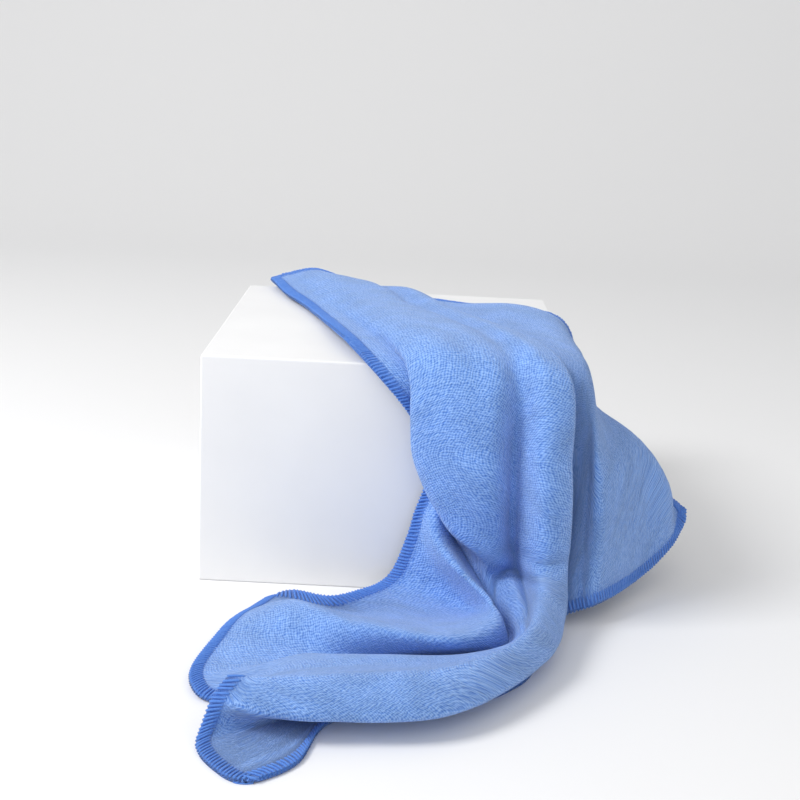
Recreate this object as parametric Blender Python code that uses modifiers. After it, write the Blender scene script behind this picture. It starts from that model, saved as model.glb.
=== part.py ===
"""Microfibre cleaning cloth draped over a plain carton.

Frame: metres, +Z up, origin in the middle of the carton's underside, +X to the
right along the carton's front face and -Y towards the side the cloth falls over.
The cloth is one terry sheet with its four edges overlocked. It lies over the
carton's lid, hangs down the front near the right corner, reaches the surface
and sweeps away to the left, and its right corner stands out as a loose flap.
"""
import bpy
import numpy as np
from mathutils import Vector

MM = 0.001

# Carton: outer size and the rounding of its folded board edges.
CARTON_WIDTH = 172 * MM
CARTON_DEPTH = 184 * MM
CARTON_HEIGHT = 109 * MM
CARTON_EDGE_RADIUS = 0.8 * MM
CARTON_EDGE_STEPS = 2

# Cloth: thickness of the pile and ground together, and how finely the stretches
# between two folds and between two sections are divided.
CLOTH_THICKNESS = 1.8 * MM
STEPS_ACROSS = 3
STEPS_ALONG = 4

# How far each point moves towards the middle of its neighbours, and how many times,
# so that no fold is sharper than a terry sheet can bend.
SOFTENING = 0.35
SOFTENING_ROUNDS = 2

# The cloth's middle layer stays at least this far outside the carton's faces.
RESTING_HEIGHT = 2.4 * MM

# The folds that run along the cloth, in order from its left edge to its right one.
FOLDS = ("left hem", "gutter", "front ridge", "crease", "left roll", "left face",
         "middle face", "middle valley", "right roll", "right turn", "tuck", "flap root",
         "back layer", "flap back", "flap side", "flap face", "right hem")

# Where each fold passes at each section, as (x, y, z) in millimetres at the middle
# of the cloth's thickness. The columns are the folds named above.
SECTIONS = {
    "back end": (
        (-75, 97, 113), (-71, 97, 113), (-67, 97, 115), (-63, 97, 116),
        (-57, 96, 118), (-47, 96, 119), (-31, 90, 115), (-21, 84, 114),
        (-11, 77, 113), (-4, 74, 112), (0, 72, 112), (22, 60, 111),
        (56, 42, 111), (89, 18, 111), (99, -2, 78), (121, -28, 50), (150, -56, 33)),
    "lid back": (
        (-61, 54, 112), (-57, 54, 113), (-53, 54, 114), (-49, 54, 115),
        (-43, 54, 118), (-33, 57, 121), (-14, 49, 121), (-4, 45, 118),
        (6, 38, 121), (15, 34, 117), (5, 38, 114), (30, 32, 112),
        (60, 20, 118), (87, -6, 114), (97, -34, 84), (134, -66, 54), (139, -71, 21)),
    "lid middle": (
        (-43, 7, 112), (-39, 7, 112), (-36, 7, 113), (-32, 7, 114),
        (-27, 8, 117), (-18, 6, 120), (1, 1, 121), (11, -1, 118),
        (21, -3, 121), (31, -5, 117), (13, 1, 114), (37, -7, 112),
        (62, -20, 114), (88, -38, 113), (96, -60, 87), (117, -80, 71), (122, -88, 11)),
    "box edge": (
        (-12, -96, 112), (-7, -96, 112), (-1, -96, 112), (6, -96, 112),
        (6, -99, 117), (21, -103, 121), (42, -105, 121), (53, -102, 118),
        (64, -108, 121), (75, -106, 117), (46, -98, 115), (74, -96, 112),
        (83, -97, 111), (89, -98, 107), (93, -99, 92), (99, -108, 51), (99, -119, 10)),
    "upper hang": (
        (19, -96, 72), (23, -96, 72), (28, -95, 72), (34, -99, 72),
        (12, -109, 72), (27, -119, 72), (46, -122, 74), (57, -110, 74),
        (69, -127, 74), (81, -117, 73), (44, -100, 72), (64, -96, 74),
        (76, -96, 76), (85, -98, 75), (91, -101, 68), (91, -107, 38), (89, -122, 7)),
    "middle hang": (
        (14, -97, 39), (18, -99, 39), (24, -108, 39), (32, -99, 38),
        (28, -113, 42), (38, -119, 39), (51, -119, 39), (59, -109, 39),
        (71, -129, 40), (83, -117, 40), (50, -100, 39), (66, -96, 40),
        (75, -96, 41), (81, -98, 42), (84, -100, 36), (81, -109, 19), (79, -124, 4)),
    "low hang": (
        (11, -98, 27), (22, -106, 25), (34, -126, 27), (39, -103, 21),
        (44, -112, 26), (48, -117, 26), (55, -117, 27), (61, -108, 27),
        (71, -130, 29), (83, -118, 27), (55, -99, 24), (66, -96, 24),
        (74, -96, 25), (80, -98, 26), (81, -102, 21), (77, -110, 12), (74, -124, 3)),
    "foot": (
        (6, -98, 13), (40, -119, 5), (48, -144, 19), (53, -130, 5),
        (53, -122, 9), (54, -116, 14), (59, -112, 18), (66, -118, 15),
        (70, -147, 25), (81, -140, 11), (60, -101, 8), (65, -101, 2),
        (68, -106, 1), (70, -111, 1), (71, -116, 1), (72, -121, 1), (73, -126, 1)),
    "sweep": (
        (0, -102, 7), (28, -127, 2), (48, -160, 16), (55, -157, 4),
        (60, -160, 10), (61, -165, 12), (62, -171, 13), (61, -177, 17),
        (60, -186, 22), (69, -182, 10), (57, -164, 6), (53, -162, 1),
        (55, -166, 1), (57, -170, 1), (59, -173, 1), (61, -177, 1), (62, -181, 1)),
    "floor right": (
        (-8, -111, 7), (13, -127, 2), (28, -179, 17), (34, -167, 3),
        (35, -175, 7), (34, -184, 11), (32, -195, 13), (31, -207, 17),
        (30, -219, 22), (31, -230, 10), (30, -196, 6), (29, -193, 1),
        (28, -197, 1), (27, -201, 1), (27, -205, 1), (26, -209, 1), (24, -213, 1)),
    "floor middle": (
        (-21, -120, 7), (-13, -129, 2), (-9, -169, 18), (-12, -172, 3),
        (-12, -180, 7), (-12, -189, 11), (-13, -203, 13), (-12, -216, 17),
        (-10, -230, 22), (-13, -240, 10), (-10, -204, 6), (-10, -201, 1),
        (-11, -205, 1), (-11, -209, 1), (-12, -213, 1), (-13, -218, 1), (-14, -223, 1)),
    "floor left": (
        (-38, -114, 6), (-38, -123, 4), (-36, -148, 15), (-33, -176, 3),
        (-34, -184, 7), (-35, -193, 9), (-36, -208, 12), (-35, -220, 16),
        (-34, -232, 21), (-38, -241, 12), (-34, -227, 5), (-34, -226, 1),
        (-33, -230, 1), (-32, -235, 1), (-30, -241, 1), (-28, -248, 1), (-25, -255, 1)),
    "end hem": (
        (-49, -114, 3), (-56, -130, 4), (-64, -151, 5), (-73, -188, 3),
        (-69, -207, 2), (-60, -214, 2), (-51, -220, 8), (-51, -226, 15),
        (-53, -230, 20), (-58, -234, 14), (-61, -240, 6), (-62, -246, 2),
        (-60, -252, 1), (-57, -257, 1), (-53, -262, 1), (-48, -267, 1), (-41, -271, 1)),
}

CARTON_COLOUR = (0.86, 0.86, 0.85, 1.0)
CARTON_ROUGHNESS = 0.55
CLOTH_COLOUR = (0.20, 0.36, 0.80, 1.0)
CLOTH_ROUGHNESS = 0.95


def plain_material(name, colour, roughness):
    material = bpy.data.materials.new(name)
    material.use_nodes = True
    shader = material.node_tree.nodes["Principled BSDF"]
    shader.inputs["Base Color"].default_value = colour
    shader.inputs["Roughness"].default_value = roughness
    shader.inputs["Metallic"].default_value = 0.0
    return material


def through_points(points, steps):
    """Rows of points along a smooth curve through the given rows (Catmull-Rom)."""
    first = 2 * points[0] - points[1]
    last = 2 * points[-1] - points[-2]
    padded = np.concatenate([[first], points, [last]])
    rows = []
    for index in range(1, len(points)):
        before, start, end, after = padded[index - 1:index + 3]
        for step in range(steps):
            t = step / steps
            bend = 2 * before - 5 * start + 4 * end - after
            twist = 3 * start - before - 3 * end + after
            rows.append(0.5 * (2 * start + (end - before) * t + bend * t ** 2 + twist * t ** 3))
    rows.append(points[-1])
    return np.array(rows)


def softened(points):
    """Round the folds by moving each inner point towards the middle of its neighbours."""
    soft = points.copy()
    for _ in range(SOFTENING_ROUNDS):
        across = (soft[:, :-2] + soft[:, 2:]) / 2
        along = (soft[:-2] + soft[2:]) / 2
        middle = (across[1:-1] + along[:, 1:-1]) / 2
        soft[1:-1, 1:-1] += SOFTENING * (middle - soft[1:-1, 1:-1])
    return soft


def kept_clear(points):
    """Lift points that dip nearer than the resting height to the carton or the surface."""
    half_size = np.array((CARTON_WIDTH / 2, CARTON_DEPTH / 2, CARTON_HEIGHT))
    outward = np.where(points[..., 0:2] < 0, -1.0, 1.0)
    beyond = np.concatenate([np.abs(points[..., 0:2]), points[..., 2:3]], axis=-1) - half_size
    nearest = beyond.max(axis=-1)
    depth = RESTING_HEIGHT - nearest
    axis = beyond.argmax(axis=-1)
    lifted = points.copy()
    for direction in range(3):
        dips = (axis == direction) & (depth > 0)
        sign = outward[..., direction] if direction < 2 else 1.0
        lifted[..., direction] += np.where(dips, depth * sign, 0.0)
    lifted[..., 2] = np.maximum(lifted[..., 2], CLOTH_THICKNESS / 2)
    return lifted


def draped_grid():
    """Points of the cloth's middle layer, one row per section step."""
    cage = np.array(list(SECTIONS.values()), dtype=float) * MM
    along = through_points(cage, STEPS_ALONG)
    across = through_points(along.transpose(1, 0, 2), STEPS_ACROSS)
    return kept_clear(softened(across.transpose(1, 0, 2)))


def build_carton(collection):
    bpy.ops.mesh.primitive_cube_add(size=1.0, location=(0, 0, CARTON_HEIGHT / 2))
    carton = bpy.context.active_object
    carton.name = "carton"
    carton.scale = (CARTON_WIDTH, CARTON_DEPTH, CARTON_HEIGHT)
    bpy.ops.object.transform_apply(location=False, rotation=False, scale=True)
    bevel = carton.modifiers.new("folded board edges", "BEVEL")
    bevel.width = CARTON_EDGE_RADIUS
    bevel.segments = CARTON_EDGE_STEPS
    carton.data.materials.append(plain_material("white_board", CARTON_COLOUR, CARTON_ROUGHNESS))
    for holder in list(carton.users_collection):
        holder.objects.unlink(carton)
    collection.objects.link(carton)
    return carton


def build_cloth(collection):
    grid = draped_grid()
    rows, columns, _ = grid.shape
    faces = []
    for row in range(rows - 1):
        for column in range(columns - 1):
            corner = row * columns + column
            faces.append((corner, corner + columns, corner + columns + 1, corner + 1))
    mesh = bpy.data.meshes.new("cloth")
    mesh.from_pydata([Vector(p) for p in grid.reshape(-1, 3)], [], faces)
    cloth = bpy.data.objects.new("cloth", mesh)
    collection.objects.link(cloth)
    thicken = cloth.modifiers.new("cloth thickness", "SOLIDIFY")
    thicken.thickness = CLOTH_THICKNESS
    thicken.offset = 0.0
    thicken.use_even_offset = False
    mesh.shade_smooth()
    mesh.materials.append(plain_material("blue_terry", CLOTH_COLOUR, CLOTH_ROUGHNESS))
    return cloth


def main():
    for thing in list(bpy.data.objects):
        bpy.data.objects.remove(thing, do_unlink=True)
    collection = bpy.data.collections.new("cloth over carton")
    bpy.context.scene.collection.children.link(collection)
    build_carton(collection)
    build_cloth(collection)


main()
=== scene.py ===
# %% [markdown]
# # Microfibre cloth draped over a plain carton
#
# One terry sheet lies over the lid of a white carton, hangs down its front, reaches the floor and
# sweeps away to the left, while its right corner stands out as a loose flap. Lengths are in metres,
# +Z is up, and the carton's front face looks towards -Y.
#
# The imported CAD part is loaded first. It fixes where everything is, and the pieces made here take
# the place of its plain solids.

# %%
import math
import bmesh
import bpy
import numpy as np
from mathutils import Matrix, Vector, noise


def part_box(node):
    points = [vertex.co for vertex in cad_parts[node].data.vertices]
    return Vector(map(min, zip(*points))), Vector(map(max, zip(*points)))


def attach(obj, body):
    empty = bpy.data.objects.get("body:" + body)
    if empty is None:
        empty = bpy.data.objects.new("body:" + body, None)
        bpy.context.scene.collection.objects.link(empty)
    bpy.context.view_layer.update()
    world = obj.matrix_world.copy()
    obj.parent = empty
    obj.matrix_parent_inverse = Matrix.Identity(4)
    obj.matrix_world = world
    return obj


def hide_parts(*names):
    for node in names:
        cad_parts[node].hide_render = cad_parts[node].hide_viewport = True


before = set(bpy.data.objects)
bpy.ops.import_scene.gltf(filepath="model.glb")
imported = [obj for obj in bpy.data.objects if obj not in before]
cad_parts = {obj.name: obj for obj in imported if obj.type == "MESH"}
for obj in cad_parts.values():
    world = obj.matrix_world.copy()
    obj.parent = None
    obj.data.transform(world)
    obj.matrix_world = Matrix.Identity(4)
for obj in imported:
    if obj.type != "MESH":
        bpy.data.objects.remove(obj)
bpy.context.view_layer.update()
MM = 0.001
print("frame nodes:", sorted(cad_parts))

# %% [markdown]
# ## The folds
#
# A draped sheet could be simulated, but a simulation doesn't land in the same folds twice. A table
# keeps them: its columns are the folds that run along the cloth, its rows are the sections that they
# cross, and a smooth surface is drawn through them.

# %%
FOLDS = ("left hem", "gutter", "front ridge", "crease", "left roll", "left face",
         "middle face", "middle valley", "right roll", "right turn", "tuck", "flap root",
         "back layer", "flap back", "flap side", "flap face", "right hem")

# Where each fold passes at each section, as (x, y, z) in millimetres at the middle
# of the cloth's thickness. The columns are the folds named above.
SECTIONS = {
    "back end": (
        (-75, 97, 113), (-71, 97, 113), (-67, 97, 115), (-63, 97, 116),
        (-57, 96, 118), (-47, 96, 119), (-31, 90, 115), (-21, 84, 114),
        (-11, 77, 113), (-4, 74, 112), (0, 72, 112), (22, 60, 111),
        (56, 42, 111), (89, 18, 111), (99, -2, 78), (121, -28, 50), (150, -56, 33)),
    "lid back": (
        (-61, 54, 112), (-57, 54, 113), (-53, 54, 114), (-49, 54, 115),
        (-43, 54, 118), (-33, 57, 121), (-14, 49, 121), (-4, 45, 118),
        (6, 38, 121), (15, 34, 117), (5, 38, 114), (30, 32, 112),
        (60, 20, 118), (87, -6, 114), (97, -34, 84), (134, -66, 54), (139, -71, 21)),
    "lid middle": (
        (-43, 7, 112), (-39, 7, 112), (-36, 7, 113), (-32, 7, 114),
        (-27, 8, 117), (-18, 6, 120), (1, 1, 121), (11, -1, 118),
        (21, -3, 121), (31, -5, 117), (13, 1, 114), (37, -7, 112),
        (62, -20, 114), (88, -38, 113), (96, -60, 87), (117, -80, 71), (122, -88, 11)),
    "box edge": (
        (-12, -96, 112), (-7, -96, 112), (-1, -96, 112), (6, -96, 112),
        (6, -99, 117), (21, -103, 121), (42, -105, 121), (53, -102, 118),
        (64, -108, 121), (75, -106, 117), (46, -98, 115), (74, -96, 112),
        (83, -97, 111), (89, -98, 107), (93, -99, 92), (99, -108, 51), (99, -119, 10)),
    "upper hang": (
        (19, -96, 72), (23, -96, 72), (28, -95, 72), (34, -99, 72),
        (12, -109, 72), (27, -119, 72), (46, -122, 74), (57, -110, 74),
        (69, -127, 74), (81, -117, 73), (44, -100, 72), (64, -96, 74),
        (76, -96, 76), (85, -98, 75), (91, -101, 68), (91, -107, 38), (89, -122, 7)),
    "middle hang": (
        (14, -97, 39), (18, -99, 39), (24, -108, 39), (32, -99, 38),
        (28, -113, 42), (38, -119, 39), (51, -119, 39), (59, -109, 39),
        (71, -129, 40), (83, -117, 40), (50, -100, 39), (66, -96, 40),
        (75, -96, 41), (81, -98, 42), (84, -100, 36), (81, -109, 19), (79, -124, 4)),
    "low hang": (
        (11, -98, 27), (22, -106, 25), (34, -126, 27), (39, -103, 21),
        (44, -112, 26), (48, -117, 26), (55, -117, 27), (61, -108, 27),
        (71, -130, 29), (83, -118, 27), (55, -99, 24), (66, -96, 24),
        (74, -96, 25), (80, -98, 26), (81, -102, 21), (77, -110, 12), (74, -124, 3)),
    "foot": (
        (6, -98, 13), (40, -119, 5), (48, -144, 19), (53, -130, 5),
        (53, -122, 9), (54, -116, 14), (59, -112, 18), (66, -118, 15),
        (70, -147, 25), (81, -140, 11), (60, -101, 8), (65, -101, 2),
        (68, -106, 1), (70, -111, 1), (71, -116, 1), (72, -121, 1), (73, -126, 1)),
    "sweep": (
        (0, -102, 7), (28, -127, 2), (48, -160, 16), (55, -157, 4),
        (60, -160, 10), (61, -165, 12), (62, -171, 13), (61, -177, 17),
        (60, -186, 22), (69, -182, 10), (57, -164, 6), (53, -162, 1),
        (55, -166, 1), (57, -170, 1), (59, -173, 1), (61, -177, 1), (62, -181, 1)),
    "floor right": (
        (-8, -111, 7), (13, -127, 2), (28, -179, 17), (34, -167, 3),
        (35, -175, 7), (34, -184, 11), (32, -195, 13), (31, -207, 17),
        (30, -219, 22), (31, -230, 10), (30, -196, 6), (29, -193, 1),
        (28, -197, 1), (27, -201, 1), (27, -205, 1), (26, -209, 1), (24, -213, 1)),
    "floor middle": (
        (-21, -120, 7), (-13, -129, 2), (-9, -169, 18), (-12, -172, 3),
        (-12, -180, 7), (-12, -189, 11), (-13, -203, 13), (-12, -216, 17),
        (-10, -230, 22), (-13, -240, 10), (-10, -204, 6), (-10, -201, 1),
        (-11, -205, 1), (-11, -209, 1), (-12, -213, 1), (-13, -218, 1), (-14, -223, 1)),
    "floor left": (
        (-38, -114, 6), (-38, -123, 4), (-36, -148, 15), (-33, -176, 3),
        (-34, -184, 7), (-35, -193, 9), (-36, -208, 12), (-35, -220, 16),
        (-34, -232, 21), (-38, -241, 12), (-34, -227, 5), (-34, -226, 1),
        (-33, -230, 1), (-32, -235, 1), (-30, -241, 1), (-28, -248, 1), (-25, -255, 1)),
    "end hem": (
        (-49, -114, 3), (-56, -130, 4), (-64, -151, 5), (-73, -188, 3),
        (-69, -207, 2), (-60, -214, 2), (-51, -220, 8), (-51, -226, 15),
        (-53, -230, 20), (-58, -234, 14), (-61, -240, 6), (-62, -246, 2),
        (-60, -252, 1), (-57, -257, 1), (-53, -262, 1), (-48, -267, 1), (-41, -271, 1)),
}

print(len(SECTIONS), "sections across", len(FOLDS), "folds")

# %% [markdown]
# ## From the table to a sheet
#
# A Catmull-Rom curve passes through every value of the table, first along the folds and then across
# them. Moving each point a little towards its neighbours rounds the bends to what terry can do, and
# points that would dip into the carton or the floor are lifted back onto them.

# %%
STEPS_ACROSS = 9
STEPS_ALONG = 14
SOFTENING = 0.35
SOFTENING_ROUNDS = 7
CLOTH_THICKNESS = 1.8 * MM
RESTING_HEIGHT = 2.2 * MM


def through_points(points, steps):
    """Rows of points along a smooth curve through the given rows."""
    padded = np.concatenate([[2 * points[0] - points[1]], points, [2 * points[-1] - points[-2]]])
    rows = []
    for index in range(1, len(points)):
        before, start, end, after = padded[index - 1:index + 3]
        for step in range(steps):
            t = step / steps
            bend = 2 * before - 5 * start + 4 * end - after
            twist = 3 * start - before - 3 * end + after
            rows.append(0.5 * (2 * start + (end - before) * t + bend * t ** 2 + twist * t ** 3))
    rows.append(points[-1])
    return np.array(rows)


def softened(points, rounds):
    """Move each inner point towards the middle of its neighbours."""
    soft = points.copy()
    for _ in range(rounds):
        across = (soft[:, :-2] + soft[:, 2:]) / 2
        along = (soft[:-2] + soft[2:]) / 2
        middle = (across[1:-1] + along[:, 1:-1]) / 2
        soft[1:-1, 1:-1] += SOFTENING * (middle - soft[1:-1, 1:-1])
    return soft


def kept_clear(points):
    """Lift points that dip nearer than the resting height to the carton or the floor."""
    low, high = (Vector(corner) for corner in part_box("carton"))
    centre = np.array((low + high) / 2)
    half_size = np.array((high - low) / 2)
    from_centre = points - centre
    beyond = np.abs(from_centre) - half_size
    nearest = beyond.argmax(axis=-1)
    depth = RESTING_HEIGHT - beyond.max(axis=-1)
    lifted = points.copy()
    for axis in range(3):
        dips = (nearest == axis) & (depth > 0)
        lifted[..., axis] += np.where(dips, depth * np.sign(from_centre[..., axis]), 0.0)
    lifted[..., 2] = np.maximum(lifted[..., 2], CLOTH_THICKNESS / 2)
    return lifted


def draped_grid():
    """Points of the cloth's middle layer, one row per step along it."""
    cage = np.array(list(SECTIONS.values()), dtype=float) * MM
    along = through_points(cage, STEPS_ALONG)
    grid = through_points(along.transpose(1, 0, 2), STEPS_ACROSS).transpose(1, 0, 2)
    return kept_clear(softened(grid, SOFTENING_ROUNDS))


grid = draped_grid()
print("sheet of", grid.shape[0], "by", grid.shape[1], "points")

# %% [markdown]
# ## Small creases
#
# The folds of the table are smooth. Real terry also keeps shallow creases where it was folded and
# squeezed. Each row below is one: where it starts and ends, counted in folds and sections, how deep
# it goes and how wide it is. A trough is positive and a ridge is negative.

# %%
CREASES = (
    # start fold, start section, end fold, end section, depth, half width (both in mm)
    (7.0, 3.7, 7.0, 6.1, 1.5, 3.0),
    (5.4, 2.6, 5.8, 3.9, 0.8, 4.0),
    (4.8, 4.2, 5.6, 4.9, 0.7, 3.5),
    (7.9, 2.2, 8.5, 3.2, 0.7, 4.0),
    (1.5, 6.2, 2.6, 7.4, 0.9, 4.5),
    (2.2, 9.6, 1.4, 11.2, 1.1, 5.0),
    (2.8, 10.6, 2.4, 11.8, 0.9, 5.0),
    (5.6, 9.2, 6.0, 10.8, 0.6, 4.0),
    (9.3, 4.4, 9.1, 5.6, 0.6, 4.0),
    (12.8, 0.8, 13.5, 2.2, 0.8, 8.0),
    (15.2, 1.5, 15.6, 3.2, 0.8, 5.0),
    (14.2, 3.2, 14.8, 4.6, 0.7, 5.0),
    (13.5, 11.2, 14.6, 11.6, 0.7, 4.0),
)
UNEVEN_HEIGHT = 0.35 * MM
UNEVEN_SIZE = 14 * MM


def grid_normals(points):
    """Unit normals of the sheet, on the side of the pile that faces up and out."""
    along = np.gradient(points, axis=0)
    across = np.gradient(points, axis=1)
    normals = np.cross(along, across)
    return normals / np.linalg.norm(normals, axis=-1, keepdims=True)


def crease_depth(points):
    """How far each point sinks, from the creases that pass near it."""
    rows, columns = points.shape[:2]
    depth = np.zeros((rows, columns))
    for fold_a, section_a, fold_b, section_b, deep, half_width in CREASES:
        steps = np.linspace(0, 1, 30)
        row = np.rint((section_a + (section_b - section_a) * steps) * STEPS_ALONG).astype(int)
        column = np.rint((fold_a + (fold_b - fold_a) * steps) * STEPS_ACROSS).astype(int)
        line = points[row.clip(0, rows - 1), column.clip(0, columns - 1)]
        taper = np.sin(np.pi * (0.08 + 0.84 * steps))
        gap = np.linalg.norm(points[:, :, None] - line[None, None], axis=-1)
        near = np.exp(-(gap / (half_width * MM)) ** 2) * taper
        depth += deep * MM * near.max(axis=-1)
    return depth


def uneven(points):
    """A gentle rise and fall of the pile over the whole sheet."""
    flat = points.reshape(-1, 3) / UNEVEN_SIZE
    rise = np.array([noise.noise(Vector(place)) for place in flat])
    return rise.reshape(points.shape[:2]) * UNEVEN_HEIGHT


def with_creases(points):
    sunk = uneven(points) - crease_depth(points)
    return kept_clear(points + grid_normals(points) * sunk[..., None])


grid = with_creases(grid)
print(len(CREASES), "creases pressed in")

# %% [markdown]
# ## Building the sheet
#
# The grid becomes a mesh with the distance from the left hem and from the back end as its UV map, in
# metres, so that ribs and loops keep their real size wherever the cloth lies. A number on each
# vertex says how near it is to the hem. Solidify gives the sheet its thickness.

# %%
HEM_WIDTH = 6.0 * MM
CORNER_CUT = 7.0 * MM


def running_length(points, axis):
    """Distance along the grid from its first row or column."""
    steps = np.linalg.norm(np.diff(points, axis=axis), axis=-1)
    start = np.zeros_like(steps.take([0], axis=axis))
    return np.concatenate([start, np.cumsum(steps, axis=axis)], axis=axis)


def rounded_corners(points):
    """Draw the four corners of the sheet in, along a quarter round."""
    from_left = running_length(points, 1)
    from_back = running_length(points, 0)
    from_right = from_left[:, -1:] - from_left
    from_front = from_back[-1:] - from_back
    drawn = points.copy()
    for across, corner_column in ((from_left, 0), (from_right, -1)):
        for along, corner_row in ((from_back, 0), (from_front, -1)):
            inner_column = int(1.6 * STEPS_ACROSS) * (1 if corner_column == 0 else -1)
            inner_row = int(0.8 * STEPS_ALONG) * (1 if corner_row == 0 else -1)
            centre = points[corner_row + inner_row, corner_column + inner_column]
            reach = np.hypot(np.maximum(CORNER_CUT - across, 0), np.maximum(CORNER_CUT - along, 0))
            over = np.maximum(reach - CORNER_CUT, 0)
            pull = centre - points
            size = np.linalg.norm(pull, axis=-1, keepdims=True)
            drawn += pull / np.maximum(size, MM) * over[..., None]
    return drawn


def grid_mesh(name, points):
    rows, columns = points.shape[:2]
    corners = np.arange(rows * columns).reshape(rows, columns)
    faces = np.stack([corners[:-1, :-1], corners[1:, :-1], corners[1:, 1:], corners[:-1, 1:]], -1)
    mesh = bpy.data.meshes.new(name)
    mesh.from_pydata(points.reshape(-1, 3).tolist(), [], faces.reshape(-1, 4).tolist())
    return mesh


def add_lengths(mesh, points):
    """Write the running lengths as UVs, and each vertex's nearness to the hem from 0 to 1."""
    across = running_length(points, 1)
    along = running_length(points, 0)
    to_edge = np.minimum(np.minimum(across, across[:, -1:] - across),
                         np.minimum(along, along[-1:] - along))
    band = np.clip(1.25 - to_edge / HEM_WIDTH, 0, 1).ravel()
    lengths = np.stack([across.ravel(), along.ravel()], -1)
    layer = mesh.uv_layers.new(name="lengths")
    corner_vertices = np.zeros(len(mesh.loops), dtype=int)
    mesh.loops.foreach_get("vertex_index", corner_vertices)
    layer.data.foreach_set("uv", lengths[corner_vertices].ravel())
    mesh.attributes.new("hem_band", "FLOAT", "POINT").data.foreach_set("value", band)


def make_sheet():
    mesh = grid_mesh("terry_cloth", grid)
    add_lengths(mesh, grid)
    mesh.shade_smooth()
    sheet = bpy.data.objects.new("terry_cloth", mesh)
    bpy.context.scene.collection.objects.link(sheet)
    thicken = sheet.modifiers.new("thickness of the pile", "SOLIDIFY")
    thicken.thickness = CLOTH_THICKNESS
    thicken.offset = 0.0
    return sheet


grid = rounded_corners(grid)
cloth = make_sheet()
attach(cloth, "root")
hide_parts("cloth")
print("sheet area, in square metres:", round(sum(face.area for face in cloth.data.polygons), 4))

# %% [markdown]
# ## Overlocked hem
#
# The four edges are overlocked: a thick soft thread wraps over the edge again and again, a little
# slanted, and stands proud of the pile. One wrap is a short tube that starts on the pile, goes round
# the edge and ends underneath. Walking round the border at the stitch pitch places them all.

# %%
STITCH_PITCH = 1.7 * MM
STITCH_SLANT = 1.6 * MM
STITCH_DEPTH = 5.6 * MM
THREAD_RADIUS = 0.55 * MM
THREAD_SIDES = 5
WRAP_STEPS = 8
FACE_SHARE = 0.7


def border_lines():
    """For each grid line that ends at the border, going once round: its points, walking inwards."""
    lines = [grid[row, :] for row in range(grid.shape[0] - 1)]
    lines += [grid[::-1, column] for column in range(grid.shape[1] - 1)]
    lines += [grid[row, ::-1] for row in range(grid.shape[0] - 1, 0, -1)]
    lines += [grid[:, column] for column in range(grid.shape[1] - 1, 0, -1)]
    return lines


def border_normals():
    normals = grid_normals(grid)
    return np.concatenate([normals[:-1, 0], normals[-1, :-1], normals[:0:-1, -1], normals[0, :0:-1]])


def walked_in(line, depths):
    """Points of a grid line at the given depths from the border."""
    reach = line[:40]
    lengths = np.concatenate([[0], np.cumsum(np.linalg.norm(np.diff(reach, axis=0), axis=-1))])
    return np.stack([np.interp(depths, lengths, reach[:, axis]) for axis in range(3)], -1)


def wrap_path(inside, normal, forward, outwards, wobble):
    """The middle line of one wrap of thread, from the pile round the edge to underneath."""
    half = CLOTH_THICKNESS / 2
    path = []
    for step, place in enumerate(inside):
        t = step / (len(inside) - 1)
        lift = half - 0.1 * MM + 0.3 * MM * math.sin(math.pi * t)
        path.append(place + normal * lift + forward * (STITCH_SLANT * (t - 0.5) + wobble))
    edge = inside[-1] + forward * (STITCH_SLANT / 2 + wobble)
    path.append(edge + outwards * 0.25 * MM)
    path.append(edge - outwards * 0.4 * MM - normal * half)
    return path


def add_tube(mesh_data, path, radius, sides):
    """Add a round tube with closed ends along a path."""
    rings = []
    for index, centre in enumerate(path):
        ahead = path[min(index + 1, len(path) - 1)] - path[max(index - 1, 0)]
        turn = ahead.to_track_quat("Z", "X")
        thin = 0.55 if index in (0, len(path) - 1) else 1.0
        ring = []
        for side in range(sides):
            angle = 2 * math.pi * side / sides
            spoke = Vector((math.cos(angle), math.sin(angle), 0)) * radius * thin
            point = centre + turn @ spoke
            point.z = max(point.z, 0.05 * MM)
            ring.append(mesh_data.verts.new(point))
        rings.append(ring)
    for first, second in zip(rings, rings[1:]):
        for side in range(sides):
            after = (side + 1) % sides
            mesh_data.faces.new((first[side], first[after], second[after], second[side]))
    mesh_data.faces.new(rings[0][::-1])
    mesh_data.faces.new(rings[-1])


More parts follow.
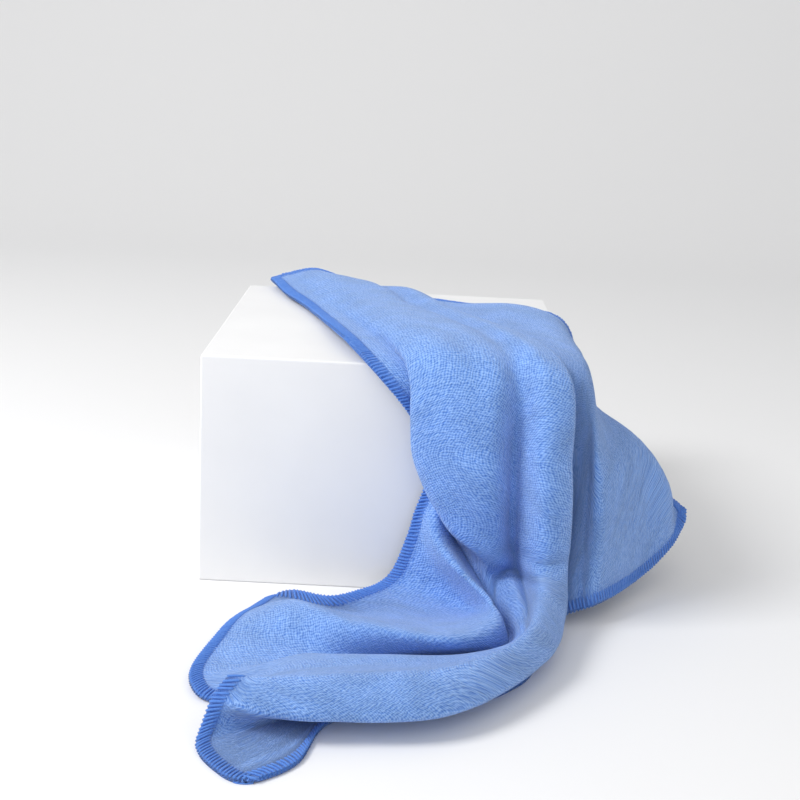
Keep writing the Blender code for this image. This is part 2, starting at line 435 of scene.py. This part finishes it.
def make_hem():
    lines = border_lines()
    normals = border_normals()
    depths = np.linspace(STITCH_DEPTH, 0.1 * MM, WRAP_STEPS)
    walks = np.array([walked_in(line, depths) for line in lines])
    places = np.array([line[0] for line in lines])
    gaps = np.linalg.norm(np.diff(np.concatenate([places, places[:1]]), axis=0), axis=-1)
    distances = np.concatenate([[0], np.cumsum(gaps)])
    count = int(distances[-1] / STITCH_PITCH)
    closed = np.concatenate([walks, walks[:1]])
    closed_normals = np.concatenate([normals, normals[:1]])
    random = np.random.default_rng(7)
    hem_data = bmesh.new()
    for index in range(count):
        wanted = distances[-1] * index / count
        after = int(np.searchsorted(distances, wanted, side="right"))
        share = (wanted - distances[after - 1]) / max(distances[after] - distances[after - 1], 1e-9)
        inside = closed[after - 1] * (1 - share) + closed[after] * share
        normal = Vector(closed_normals[after - 1] * (1 - share) + closed_normals[after] * share)
        forward = Vector(closed[after][-1] - closed[after - 1][-1]).normalized()
        inside = [Vector(place) for place in inside]
        outwards = (inside[-1] - inside[-3]).normalized()
        wobble = float(random.normal(0, 0.12)) * MM
        radius = THREAD_RADIUS * float(random.uniform(0.88, 1.12))
        path = wrap_path(inside, normal.normalized(), forward, outwards, wobble)
        add_tube(hem_data, path, radius, THREAD_SIDES)
    mesh = bpy.data.meshes.new("overlock_stitches")
    bmesh.ops.recalc_face_normals(hem_data, faces=hem_data.faces[:])
    hem_data.to_mesh(mesh)
    hem_data.free()
    mesh.shade_smooth()
    hem = bpy.data.objects.new("overlock_stitches", mesh)
    bpy.context.scene.collection.objects.link(hem)
    return hem, count


hem, stitch_count = make_hem()
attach(hem, "root")
print(stitch_count, "stitches round the hem,", len(hem.data.polygons), "faces")

# %% [markdown]
# ## Terry relief, as a node group
#
# The pile is rows of tiny loops on a knitted ground. Ribs run along the cloth about every 1.3 mm and
# loops follow each other about every 1.1 mm, both a little irregular. The group works in metres of
# cloth and gives the height of the pile and a mask of its tips.

# %%
def add_node(tree, kind, place, inputs=(), **settings):
    """Add a node at a place, with its settings and the values of its inputs."""
    node = tree.nodes.new(kind)
    node.location = place
    for name, value in settings.items():
        setattr(node, name, value)
    for name, value in inputs:
        node.inputs[name].default_value = value
    return node


def join(tree, *pairs):
    for output, socket in pairs:
        tree.links.new(output, socket)


def terry_group():
    group = bpy.data.node_groups.new("terry_relief", "ShaderNodeTree")
    face = group.interface
    face.new_socket("Lengths", in_out="INPUT", socket_type="NodeSocketVector")
    for name, value in (("Rib Pitch", 1.35 * MM), ("Loop Pitch", 1.15 * MM), ("Wander", 2.6 * MM)):
        socket = face.new_socket(name, in_out="INPUT", socket_type="NodeSocketFloat")
        socket.default_value = value
    face.new_socket("Height", in_out="OUTPUT", socket_type="NodeSocketFloat")
    face.new_socket("Tips", in_out="OUTPUT", socket_type="NodeSocketFloat")
    start = add_node(group, "NodeGroupInput", (-1500, 0))
    end = add_node(group, "NodeGroupOutput", (900, 0))
    drift = add_node(group, "ShaderNodeTexNoise", (-1250, 250), (("Scale", 260.0), ("Detail", 2.0)))
    centred = add_node(group, "ShaderNodeVectorMath", (-1050, 250), operation="SUBTRACT")
    centred.inputs[1].default_value = (0.5, 0.5, 0.5)
    pushed = add_node(group, "ShaderNodeVectorMath", (-850, 250), operation="SCALE")
    moved = add_node(group, "ShaderNodeVectorMath", (-650, 100), operation="ADD")
    split = add_node(group, "ShaderNodeSeparateXYZ", (-480, 100))
    join(group, (start.outputs["Lengths"], drift.inputs["Vector"]),
         (drift.outputs["Color"], centred.inputs[0]), (centred.outputs[0], pushed.inputs[0]),
         (start.outputs["Wander"], pushed.inputs["Scale"]), (pushed.outputs[0], moved.inputs[0]),
         (start.outputs["Lengths"], moved.inputs[1]), (moved.outputs[0], split.inputs[0]))
    waves = []
    for row, (axis, pitch) in enumerate((("X", "Rib Pitch"), ("Y", "Loop Pitch"))):
        turns = add_node(group, "ShaderNodeMath", (-300, 200 - 200 * row), operation="DIVIDE")
        angle = add_node(group, "ShaderNodeMath", (-130, 200 - 200 * row), operation="MULTIPLY")
        angle.inputs[1].default_value = 2 * math.pi
        wave = add_node(group, "ShaderNodeMath", (40, 200 - 200 * row), operation="SINE")
        join(group, (split.outputs[axis], turns.inputs[0]), (start.outputs[pitch], turns.inputs[1]),
             (turns.outputs[0], angle.inputs[0]), (angle.outputs[0], wave.inputs[0]))
        waves.append(wave)
    summed = add_node(group, "ShaderNodeMath", (220, 100), operation="ADD")
    fluff = add_node(group, "ShaderNodeTexNoise", (-300, -300),
                     (("Scale", 620.0), ("Detail", 5.0), ("Roughness", 0.7)))
    mixed = add_node(group, "ShaderNodeMath", (400, 0), operation="MULTIPLY_ADD")
    mixed.inputs[1].default_value = 0.10
    join(group, (waves[0].outputs[0], summed.inputs[0]), (waves[1].outputs[0], summed.inputs[1]),
         (start.outputs["Lengths"], fluff.inputs["Vector"]), (summed.outputs[0], mixed.inputs[0]),
         (fluff.outputs["Fac"], mixed.inputs[2]))
    tips = add_node(group, "ShaderNodeMapRange", (600, -150), (("From Min", 0.28), ("From Max", 0.72)))
    join(group, (mixed.outputs[0], tips.inputs["Value"]), (mixed.outputs[0], end.inputs["Height"]),
         (tips.outputs["Result"], end.inputs["Tips"]))
    return group


terry_relief = terry_group()
print("group", terry_relief.name, "with", len(terry_relief.nodes), "nodes")

# %% [markdown]
# ## Blue terry
#
# Microfibre is dyed evenly, but the pile leans this way and that, so soft patches look lighter or darker.
# The light and shade of the loops are painted into the colour: a painted highlight on the tips and painted
# shade, deep blue, in the gaps between loops. The hem's ground is pressed flat by its thread and reads
# darker.

# %%
# Painted light: the deep colour is painted shade for the gaps between loops, the tip colour a painted
# highlight for the loop tips.
PILE_PAINTED_SHADE = (0.080, 0.215, 0.65, 1.0)
PILE_PAINTED_LIGHT = (0.330, 0.540, 0.96, 1.0)
HEM_COLOUR = (0.050, 0.160, 0.56, 1.0)
# The thread's two colours are painted shade for its low fibres and a painted highlight for its high ones.
THREAD_PAINTED_SHADE = (0.045, 0.150, 0.54, 1.0)
THREAD_PAINTED_LIGHT = (0.150, 0.320, 0.76, 1.0)
PILE_HEIGHT = 0.9 * MM


def cloth_shader(name, sheen):
    material = bpy.data.materials.new(name)
    material.use_nodes = True
    shader = material.node_tree.nodes["Principled BSDF"]
    shader.inputs["Roughness"].default_value = 0.92
    shader.inputs["Specular IOR Level"].default_value = 0.15
    shader.inputs["Sheen Weight"].default_value = sheen
    shader.inputs["Sheen Roughness"].default_value = 0.45
    shader.inputs["Sheen Tint"].default_value = (0.72, 0.82, 1.0, 1.0)
    return material, material.node_tree, shader


def pile_material():
    material, tree, shader = cloth_shader("blue_terry_pile", 0.55)
    lengths = add_node(tree, "ShaderNodeUVMap", (-1500, 0), uv_map="lengths")
    relief = add_node(tree, "ShaderNodeGroup", (-1250, 100), node_tree=terry_relief)
    # Painted light: the tips mask mixes painted shade into the gaps between loops and a painted highlight
    # onto the loop tips.
    colour = add_node(tree, "ShaderNodeMix", (-900, 200), data_type="RGBA")
    colour.inputs[6].default_value = PILE_PAINTED_SHADE
    colour.inputs[7].default_value = PILE_PAINTED_LIGHT
    lean = add_node(tree, "ShaderNodeTexNoise", (-1250, -150), (("Scale", 70.0), ("Detail", 4.0)))
    patch = add_node(tree, "ShaderNodeMapRange", (-1050, -150),
                     (("From Min", 0.3), ("From Max", 0.7), ("To Min", 0.88), ("To Max", 1.08)))
    shade = add_node(tree, "ShaderNodeVectorMath", (-700, 100), operation="SCALE")
    band = add_node(tree, "ShaderNodeAttribute", (-900, -300), attribute_name="hem_band")
    pressed = add_node(tree, "ShaderNodeMix", (-450, 100), data_type="RGBA")
    pressed.inputs[7].default_value = HEM_COLOUR
    bump = add_node(tree, "ShaderNodeBump", (-300, -250), (("Strength", 0.9), ("Distance", PILE_HEIGHT)))
    join(tree, (lengths.outputs["UV"], relief.inputs["Lengths"]),
         (relief.outputs["Tips"], colour.inputs["Factor"]), (lengths.outputs["UV"], lean.inputs["Vector"]),
         (lean.outputs["Fac"], patch.inputs["Value"]), (colour.outputs[2], shade.inputs[0]),
         (patch.outputs["Result"], shade.inputs["Scale"]), (shade.outputs[0], pressed.inputs[6]),
         (band.outputs["Fac"], pressed.inputs["Factor"]), (relief.outputs["Height"], bump.inputs["Height"]),
         (pressed.outputs[2], shader.inputs["Base Color"]), (bump.outputs["Normal"], shader.inputs["Normal"]))
    return material


def thread_material():
    material, tree, shader = cloth_shader("blue_overlock_thread", 0.4)
    place = add_node(tree, "ShaderNodeTexCoord", (-1100, 0))
    fluff = add_node(tree, "ShaderNodeTexNoise", (-900, 0), (("Scale", 1400.0), ("Detail", 3.0)))
    # Painted light: the fluff noise that raises the bump also mixes the colours, painted shade where it is
    # low and a painted highlight where it is high.
    colour = add_node(tree, "ShaderNodeMix", (-600, 150), data_type="RGBA")
    colour.inputs[6].default_value = THREAD_PAINTED_SHADE
    colour.inputs[7].default_value = THREAD_PAINTED_LIGHT
    bump = add_node(tree, "ShaderNodeBump", (-400, -150), (("Strength", 0.6), ("Distance", 0.3 * MM)))
    join(tree, (place.outputs["Object"], fluff.inputs["Vector"]),
         (fluff.outputs["Fac"], colour.inputs["Factor"]), (fluff.outputs["Fac"], bump.inputs["Height"]),
         (colour.outputs[2], shader.inputs["Base Color"]), (bump.outputs["Normal"], shader.inputs["Normal"]))
    return material


cloth.data.materials.append(pile_material())
hem.data.materials.append(thread_material())
print("finishes:", cloth.data.materials[0].name, "and", hem.data.materials[0].name)

# %% [markdown]
# ## White carton
#
# Plain coated board is smooth and a little satin, with a faint cloudiness from its fibres. The imported
# solid already has the right shape, so it only gets its finish.

# %%
def board_material():
    material = bpy.data.materials.new("white_coated_board")
    material.use_nodes = True
    tree = material.node_tree
    shader = tree.nodes["Principled BSDF"]
    shader.inputs["Specular IOR Level"].default_value = 0.35
    place = add_node(tree, "ShaderNodeTexCoord", (-1200, 0))
    cloud = add_node(tree, "ShaderNodeTexNoise", (-950, 150), (("Scale", 28.0), ("Detail", 4.0)))
    fibre = add_node(tree, "ShaderNodeTexNoise", (-950, -150), (("Scale", 900.0), ("Detail", 3.0)))
    colour = add_node(tree, "ShaderNodeMix", (-650, 150), data_type="RGBA")
    colour.inputs[6].default_value = (0.80, 0.80, 0.805, 1.0)
    colour.inputs[7].default_value = (0.87, 0.87, 0.87, 1.0)
    gloss = add_node(tree, "ShaderNodeMapRange", (-650, -50), (("To Min", 0.42), ("To Max", 0.6)))
    bump = add_node(tree, "ShaderNodeBump", (-400, -250), (("Strength", 0.12), ("Distance", 0.05 * MM)))
    join(tree, (place.outputs["Object"], cloud.inputs["Vector"]),
         (place.outputs["Object"], fibre.inputs["Vector"]),
         (cloud.outputs["Fac"], colour.inputs["Factor"]), (cloud.outputs["Fac"], gloss.inputs["Value"]),
         (fibre.outputs["Fac"], bump.inputs["Height"]), (colour.outputs[2], shader.inputs["Base Color"]),
         (gloss.outputs["Result"], shader.inputs["Roughness"]),
         (bump.outputs["Normal"], shader.inputs["Normal"]))
    return material


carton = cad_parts["carton"]
carton.data.materials.clear()
carton.data.materials.append(board_material())
print("finish:", carton.data.materials[0].name)

# %% [markdown]
# ## Studio
#
# A pale sweep of floor and wall, a soft light high on the left, a weaker one in front, and a white
# surround keep the shadows faint, as for a product on a table.

# %%
def sweep_backdrop():
    """Floor that curves up into a wall behind, in one smooth sheet."""
    profile = [(-3.0, 0.0), (0.9, 0.0)]
    for step in range(1, 13):
        turn = math.pi / 2 * step / 12
        profile.append((0.9 + 0.6 * math.sin(turn), 0.6 * (1 - math.cos(turn))))
    profile.append((1.5, 3.0))
    verts = [(side * 3.0, y, z) for y, z in profile for side in (-1, 1)]
    faces = [(2 * i, 2 * i + 1, 2 * i + 3, 2 * i + 2) for i in range(len(profile) - 1)]
    mesh = bpy.data.meshes.new("studio_sweep")
    mesh.from_pydata(verts, [], faces)
    mesh.shade_smooth()
    sweep = bpy.data.objects.new("studio_sweep", mesh)
    bpy.context.scene.collection.objects.link(sweep)
    material = bpy.data.materials.new("pale_floor")
    material.use_nodes = True
    shader = material.node_tree.nodes["Principled BSDF"]
    shader.inputs["Base Color"].default_value = (0.86, 0.86, 0.865, 1.0)
    shader.inputs["Roughness"].default_value = 0.7
    mesh.materials.append(material)


def area_light(name, place, target, size, power):
    data = bpy.data.lights.new(name, "AREA")
    data.size = size
    data.energy = power
    light = bpy.data.objects.new(name, data)
    bpy.context.scene.collection.objects.link(light)
    light.location = place
    light.rotation_euler = (Vector(target) - Vector(place)).to_track_quat("-Z", "Y").to_euler()


def white_surround(strength):
    world = bpy.data.worlds.new("white_surround")
    world.use_nodes = True
    background = world.node_tree.nodes["Background"]
    background.inputs["Color"].default_value = (1.0, 1.0, 1.0, 1.0)
    background.inputs["Strength"].default_value = strength
    bpy.context.scene.world = world


sweep_backdrop()
area_light("key", (-0.85, -0.45, 0.95), (0, -0.05, 0.05), 0.45, 11.0)
area_light("front", (-0.1, -1.3, 0.9), (0, 0, 0.05), 0.8, 2.5)
white_surround(0.66)
bpy.context.scene.view_settings.view_transform = "Standard"
print("studio ready")

# %% [markdown]
# ## Camera
#
# It stands level with the cloth's hang, looks a little down, and leans slightly to one side.

# %%
CAMERA_PLACE = (0.005, -0.678, 0.247)
CAMERA_DOWN = math.radians(14.76)
CAMERA_LEAN = math.radians(2.87)
CAMERA_LENS = 60.0


def place_camera():
    data = bpy.data.cameras.new("camera")
    data.lens = CAMERA_LENS
    data.sensor_width = 36.0
    eye = bpy.data.objects.new("camera", data)
    bpy.context.scene.collection.objects.link(eye)
    level = Matrix.Rotation(math.pi / 2 - CAMERA_DOWN, 3, "X")
    eye.rotation_euler = (level @ Matrix.Rotation(CAMERA_LEAN, 3, "Z")).to_euler()
    eye.location = CAMERA_PLACE
    bpy.context.scene.camera = eye


place_camera()
print("camera at", CAMERA_PLACE)
